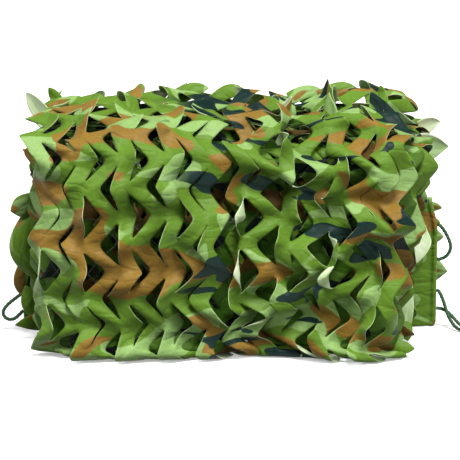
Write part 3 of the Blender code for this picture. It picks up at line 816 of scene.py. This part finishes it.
def make_twine(material):
    """The knotted twine net behind the leaves: two sets of threads that cross in a diamond mesh.

    Each thread moves as far across as it does along the section.
    """
    line = wrap_section()
    first, last = TWINE_ENDS[0], along_line(line)[-1] - TWINE_ENDS[1]
    left, right = WRAP_EDGES
    threads = []
    wander = [random_field(seed, 0.06) for seed in (71, 72, 73)]
    starts = np.arange(left - (last - first), right + (last - first), MESH_SIDE * math.sqrt(2))
    for slant in (1, -1):
        for start in starts:
            run = np.arange(first, last, TWINE_STEP)
            x = start + slant * (run - first)
            inside = (x > left + TWINE_MARGIN) & (x < right - TWINE_MARGIN)
            if inside.sum() < 4:
                continue
            x, run = x[inside], run[inside]
            cloth, _ = on_section(line, x, run)
            slack = soft_step(x, -0.05, 0.06)  # none at the left, where the wrap lies flat
            depth = eased(TWINE_DEPTH, np.maximum(slack, valley(x, cloth[:, 2])))
            place, _ = on_section(line, x, run, out_by=-depth)
            place = place + np.stack([TWINE_STRAY * field(place) for field in wander], axis=-1)
            threads.append(tube(place, TWINE / 2, 5))
    new_piece("twine_net", "edge_cord", *joined(threads), [material])


# --- materials ---
def linear(hex_colour):
    """An sRGB hex colour as linear RGBA."""
    values = [int(hex_colour[i : i + 2], 16) / 255 for i in (1, 3, 5)]
    return (*[v / 12.92 if v <= 0.04045 else ((v + 0.055) / 1.055) ** 2.4 for v in values], 1.0)


def add_node(tree, kind, inputs, output=0, **settings):
    """Adds one node and gives one of its outputs; inputs are values, or outputs that are linked to it."""
    node = tree.nodes.new("ShaderNode" + kind)
    for name, value in settings.items():
        setattr(node, name, value)
    for name, value in inputs.items():
        if isinstance(value, bpy.types.NodeSocket):
            tree.links.new(value, node.inputs[name])
        else:
            node.inputs[name].default_value = value
    return node.outputs[output]


def new_material(name, **values):
    """A Principled material with the given socket values."""
    material = bpy.data.materials.new(name)
    material.use_nodes = True
    shader = material.node_tree.nodes["Principled BSDF"]
    for socket, value in values.items():
        shader.inputs[socket.replace("_", " ")].default_value = value
    return material, material.node_tree, shader


def finish_material(tree, shader, colour, height, strength, distance=0.0015):
    """Gives a material its colour and, where their strength isn't 0, its small heights."""
    tree.links.new(colour, shader.inputs["Base Color"])
    if strength:
        relief = {"Height": height, "Strength": strength, "Distance": distance}
        tree.links.new(add_node(tree, "Bump", relief), shader.inputs["Normal"])


def creases(tree, uv):
    """The height of a cloth that has been folded and crushed: sharp creases, soft dents and a fine weave.

    A crease runs where a field of smooth noise passes its middle.  The weave is drawn at 1.1 mm, three
    times its real size, so that it shows at all.
    """
    height = 0.0
    for size, turn, amount in ((0.050, 0.5, 0.55), (0.026, -0.7, 0.30)):
        place = add_node(tree, "Mapping", {"Vector": uv, "Rotation": (0, 0, turn), "Scale": (1, 2, 1)})
        waves = {"Vector": place, "Scale": 1 / size, "Detail": 0.0, "Distortion": 0.2}
        value = add_node(tree, "TexNoise", waves)
        for operation, number in (("SUBTRACT", 0.5), ("ABSOLUTE", 0.0), ("MINIMUM", 0.12)):
            value = add_node(tree, "Math", {0: value, 1: number}, operation=operation)
        ridges = {0: value, 1: amount * 8, 2: height}
        height = add_node(tree, "Math", ridges, operation="MULTIPLY_ADD")
    for scale, amount in ((70.0, 0.5), (900.0, 0.05)):
        grain = add_node(tree, "TexNoise", {"Vector": uv, "Scale": scale, "Detail": 1.0})
        dents = {0: grain, 1: amount, 2: height}
        height = add_node(tree, "Math", dents, operation="MULTIPLY_ADD")
    return height


def printed_cloth(name, colours, gloss):
    """Printed polyester taffeta: a smooth, close weave with a soft satin sheen, printed in four colours.

    Each colour is a field of smooth noise cut off at a level.  Its patches are 60 to 120 mm long.  Over all
    of it, the colour is darkened a little in fine random clouds a few millimetres wide.
    """
    material, tree, shader = new_material(
        name, Roughness=0.52, Specular_IOR_Level=gloss, Sheen_Weight=0.1, Sheen_Roughness=0.4
    )
    uv = add_node(tree, "UVMap", {}, uv_map="flat_cloth")

    def patches(shift, size, turn, stretch, level):
        """1 in a colour's patches and 0 around them, with a printed edge between."""
        moved = {"Location": (shift, shift * 0.7, 0), "Rotation": (0, 0, turn), "Scale": (1, stretch, 1)}
        place = add_node(tree, "Mapping", {"Vector": uv, **moved})
        shape = {"Scale": 1 / size, "Detail": 1.0, "Roughness": 0.35, "Distortion": 0.6}
        field = add_node(tree, "TexNoise", {"Vector": place, **shape})
        edge = {"From Min": level - PRINT_EDGE, "From Max": level + PRINT_EDGE}
        return add_node(tree, "MapRange", {"Value": field, **edge})

    across = add_node(tree, "SeparateXYZ", {"Vector": uv})
    start, full = TEAL_START
    started = add_node(tree, "MapRange", {"Value": across, "From Min": start, "From Max": full})
    blotches = add_node(tree, "Math", {0: patches(*TEAL_FIELD), 1: started}, operation="MULTIPLY")
    mottle = add_node(tree, "TexNoise", {"Vector": uv, "Scale": 230.0, "Detail": 3.0, "Roughness": 0.7})
    clouds = add_node(tree, "MapRange", {"Value": mottle, "From Min": 0.35, "From Max": 0.65, "To Max": 0.9})
    colour, sage, brown, teal = (linear(colour) for colour in colours)
    for factor, over, blend in (
        (patches(*SAGE_FIELD), sage, "MIX"),
        (patches(*BROWN_FIELD), brown, "MIX"),
        (blotches, teal, "MIX"),
        (clouds, MOTTLE_TONE, "MULTIPLY"),
    ):
        layer = {"Factor": factor, "A": colour, "B": over}
        colour = add_node(tree, "Mix", layer, "Result", data_type="RGBA", blend_type=blend)
    finish_material(tree, shader, colour, creases(tree, uv), 0.9)
    return material


def pale_back(name, colour, shadow):
    """The cloth's unprinted back: pale green polyester, on which the print shows through a little."""
    material, tree, shader = new_material(name, Roughness=0.5, Sheen_Weight=0.2)
    uv = add_node(tree, "UVMap", {}, uv_map="flat_cloth")
    field = add_node(tree, "TexNoise", {"Vector": uv, "Scale": 12.0, "Detail": 2.0})
    tone = add_node(tree, "MapRange", {"Value": field, "From Min": 0.45, "From Max": 0.6})
    tones = {"Factor": tone, "A": linear(colour), "B": linear(shadow)}
    colour = add_node(tree, "Mix", tones, "Result", data_type="RGBA")
    finish_material(tree, shader, colour, creases(tree, uv), 0.6)
    return material


def two_tone(name, dark, light, scale, detail, strength=0.0):
    """A plain plastic that goes from dark to light with fine noise, which also roughens it."""
    material, tree, shader = new_material(name, Roughness=0.55)
    place = add_node(tree, "TexCoord", {}, "Object")
    grain = add_node(tree, "TexNoise", {"Vector": place, "Scale": scale, "Detail": detail})
    tones = {"Factor": grain, "A": linear(dark), "B": linear(light)}
    colour = add_node(tree, "Mix", tones, "Result", data_type="RGBA")
    finish_material(tree, shader, colour, grain, strength, 0.0004)
    return material


def cut_edge():
    """The cut edge: a thin, slightly uneven rim, drawn pale as a painted highlight of the light along the
    cloth's cut edges.
    """
    return two_tone("pale_edge_painted_highlight", "#93AC66", "#DCE8C0", 160.0, 1.0)


def twisted_fibre(name, dark, light):
    """Twisted plastic fibre, for the cord and the twine, with lighter worn fibres along its strands."""
    return two_tone(name, dark, light, 900.0, 2.0, 0.4)


def floor_and_lights():
    """A plain pale floor, soft lights from above, the left and the right, and a white surround."""
    mesh = bpy.data.meshes.new("floor")
    corners = [(-1, -1), (1, -1), (1, 1), (-1, 1)]
    mesh.from_pydata([(x * FLOOR_REACH, y * FLOOR_REACH, 0) for x, y in corners], [], [(0, 1, 2, 3)])
    floor = add_object("floor", mesh)
    floor.location = (0, 0, FLOOR_Z)
    material, _, shader = new_material("white_paper", Roughness=0.9, Emission_Strength=FLOOR_GLOW)
    shader.inputs["Base Color"].default_value = (0.92, 0.92, 0.92, 1)
    shader.inputs["Emission Color"].default_value = (1, 1, 1, 1)
    mesh.materials.append(material)
    floor.visible_diffuse = False  # its whiteness is for the picture, and doesn't light the cloth from below
    world = bpy.data.worlds.new("studio")
    world.use_nodes = True
    background = world.node_tree.nodes["Background"]
    background.inputs["Color"].default_value = (1, 1, 1, 1)
    background.inputs["Strength"].default_value = SURROUND
    bpy.context.scene.world = world
    for name, place, strength, angle in LIGHTS:
        data = bpy.data.lights.new(name, "SUN")
        data.energy, data.angle = strength, math.radians(angle)
        light = add_object(name, data)
        light.location = place
        light.rotation_euler = Vector(place).to_track_quat("Z", "Y").to_euler()
    bpy.context.scene.view_settings.view_transform = "Standard"


def main():
    place_camera()
    floor_and_lights()
    green = twisted_fibre("polypropylene_cord", "#123418", "#2F6233")
    make_cord("edge_cord_loop_left", "cord_loop_left", LEFT_LOOP, LEFT_HEM, -1, green)
    make_cord("edge_cord_loop_right", "cord_loop_right", RIGHT_LOOP, RIGHT_HEM, 1, green)
    make_cord("edge_cord_tail_right", "cord_tail_right", RIGHT_TAIL, RIGHT_HEM, 1, green)
    print_colours = ("#5F8322", "#8AAC62", "#8A6A26", "#04251F")
    # A darker copy of the outer print for the inner plies: painted shade, since fewer plies are drawn than
    # the real bundle has to hold back the light.
    shade_darkened_colours = ("#365810", "#4C6C24", "#523D14", "#040E0A")
    outer = printed_cloth("printed_polyester", print_colours, 0.20)
    inner = printed_cloth("printed_polyester_painted_shade", shade_darkened_colours, 0.10)
    back = pale_back("unprinted_polyester", "#D3E2B8", "#ABC88A")
    # The inner plies' back is a darker copy of the pale back: painted shade.
    shade_darkened_back = pale_back("unprinted_polyester_painted_shade", "#5E7A45", "#456033")
    edge = cut_edge()
    leaf_cloth = [outer, back, edge]
    calm_edges = (WRAP_EDGES[0], WRAP_PARTING)
    wrap = make_wrap("net_wrap", 9, calm_edges, 0.25, 1.11, 15, leaf_cloth, (0.02, -0.30))
    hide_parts("net")
    slack_edges = (WRAP_PARTING - WRAP_LAP, WRAP_EDGES[1])
    make_wrap("net_wrap_slack", 8, slack_edges, 0.9, 1.22, 52, leaf_cloth, (0.25, 0.0))
    # The under-ply takes the darker inner print and back: painted shade.
    make_under_ply([inner, shade_darkened_back, edge])
    # One side of each layer takes the darker inner print: painted shade.
    make_layers("net_layers_front", (0.0, 0.5), [inner, outer, edge])
    make_layers("net_layers_back", (0.5, 1.0), [inner, outer, edge])
    make_hem("hem_right", RIGHT_HEM, 1, (0.0006, 0.180), 0.062, outer, green, (0.03, 0.038))
    # The left hem, which stands in the shade, takes the darker inner print: painted shade.
    make_hem("hem_left", LEFT_HEM, -1, (0.012, 0.090), 0.040, inner, green, (0.10, 0.05))
    make_edge_leaves(leaf_cloth)
    make_twine(twisted_fibre("nylon_twine", "#0A140A", "#1C2A18"))


main()
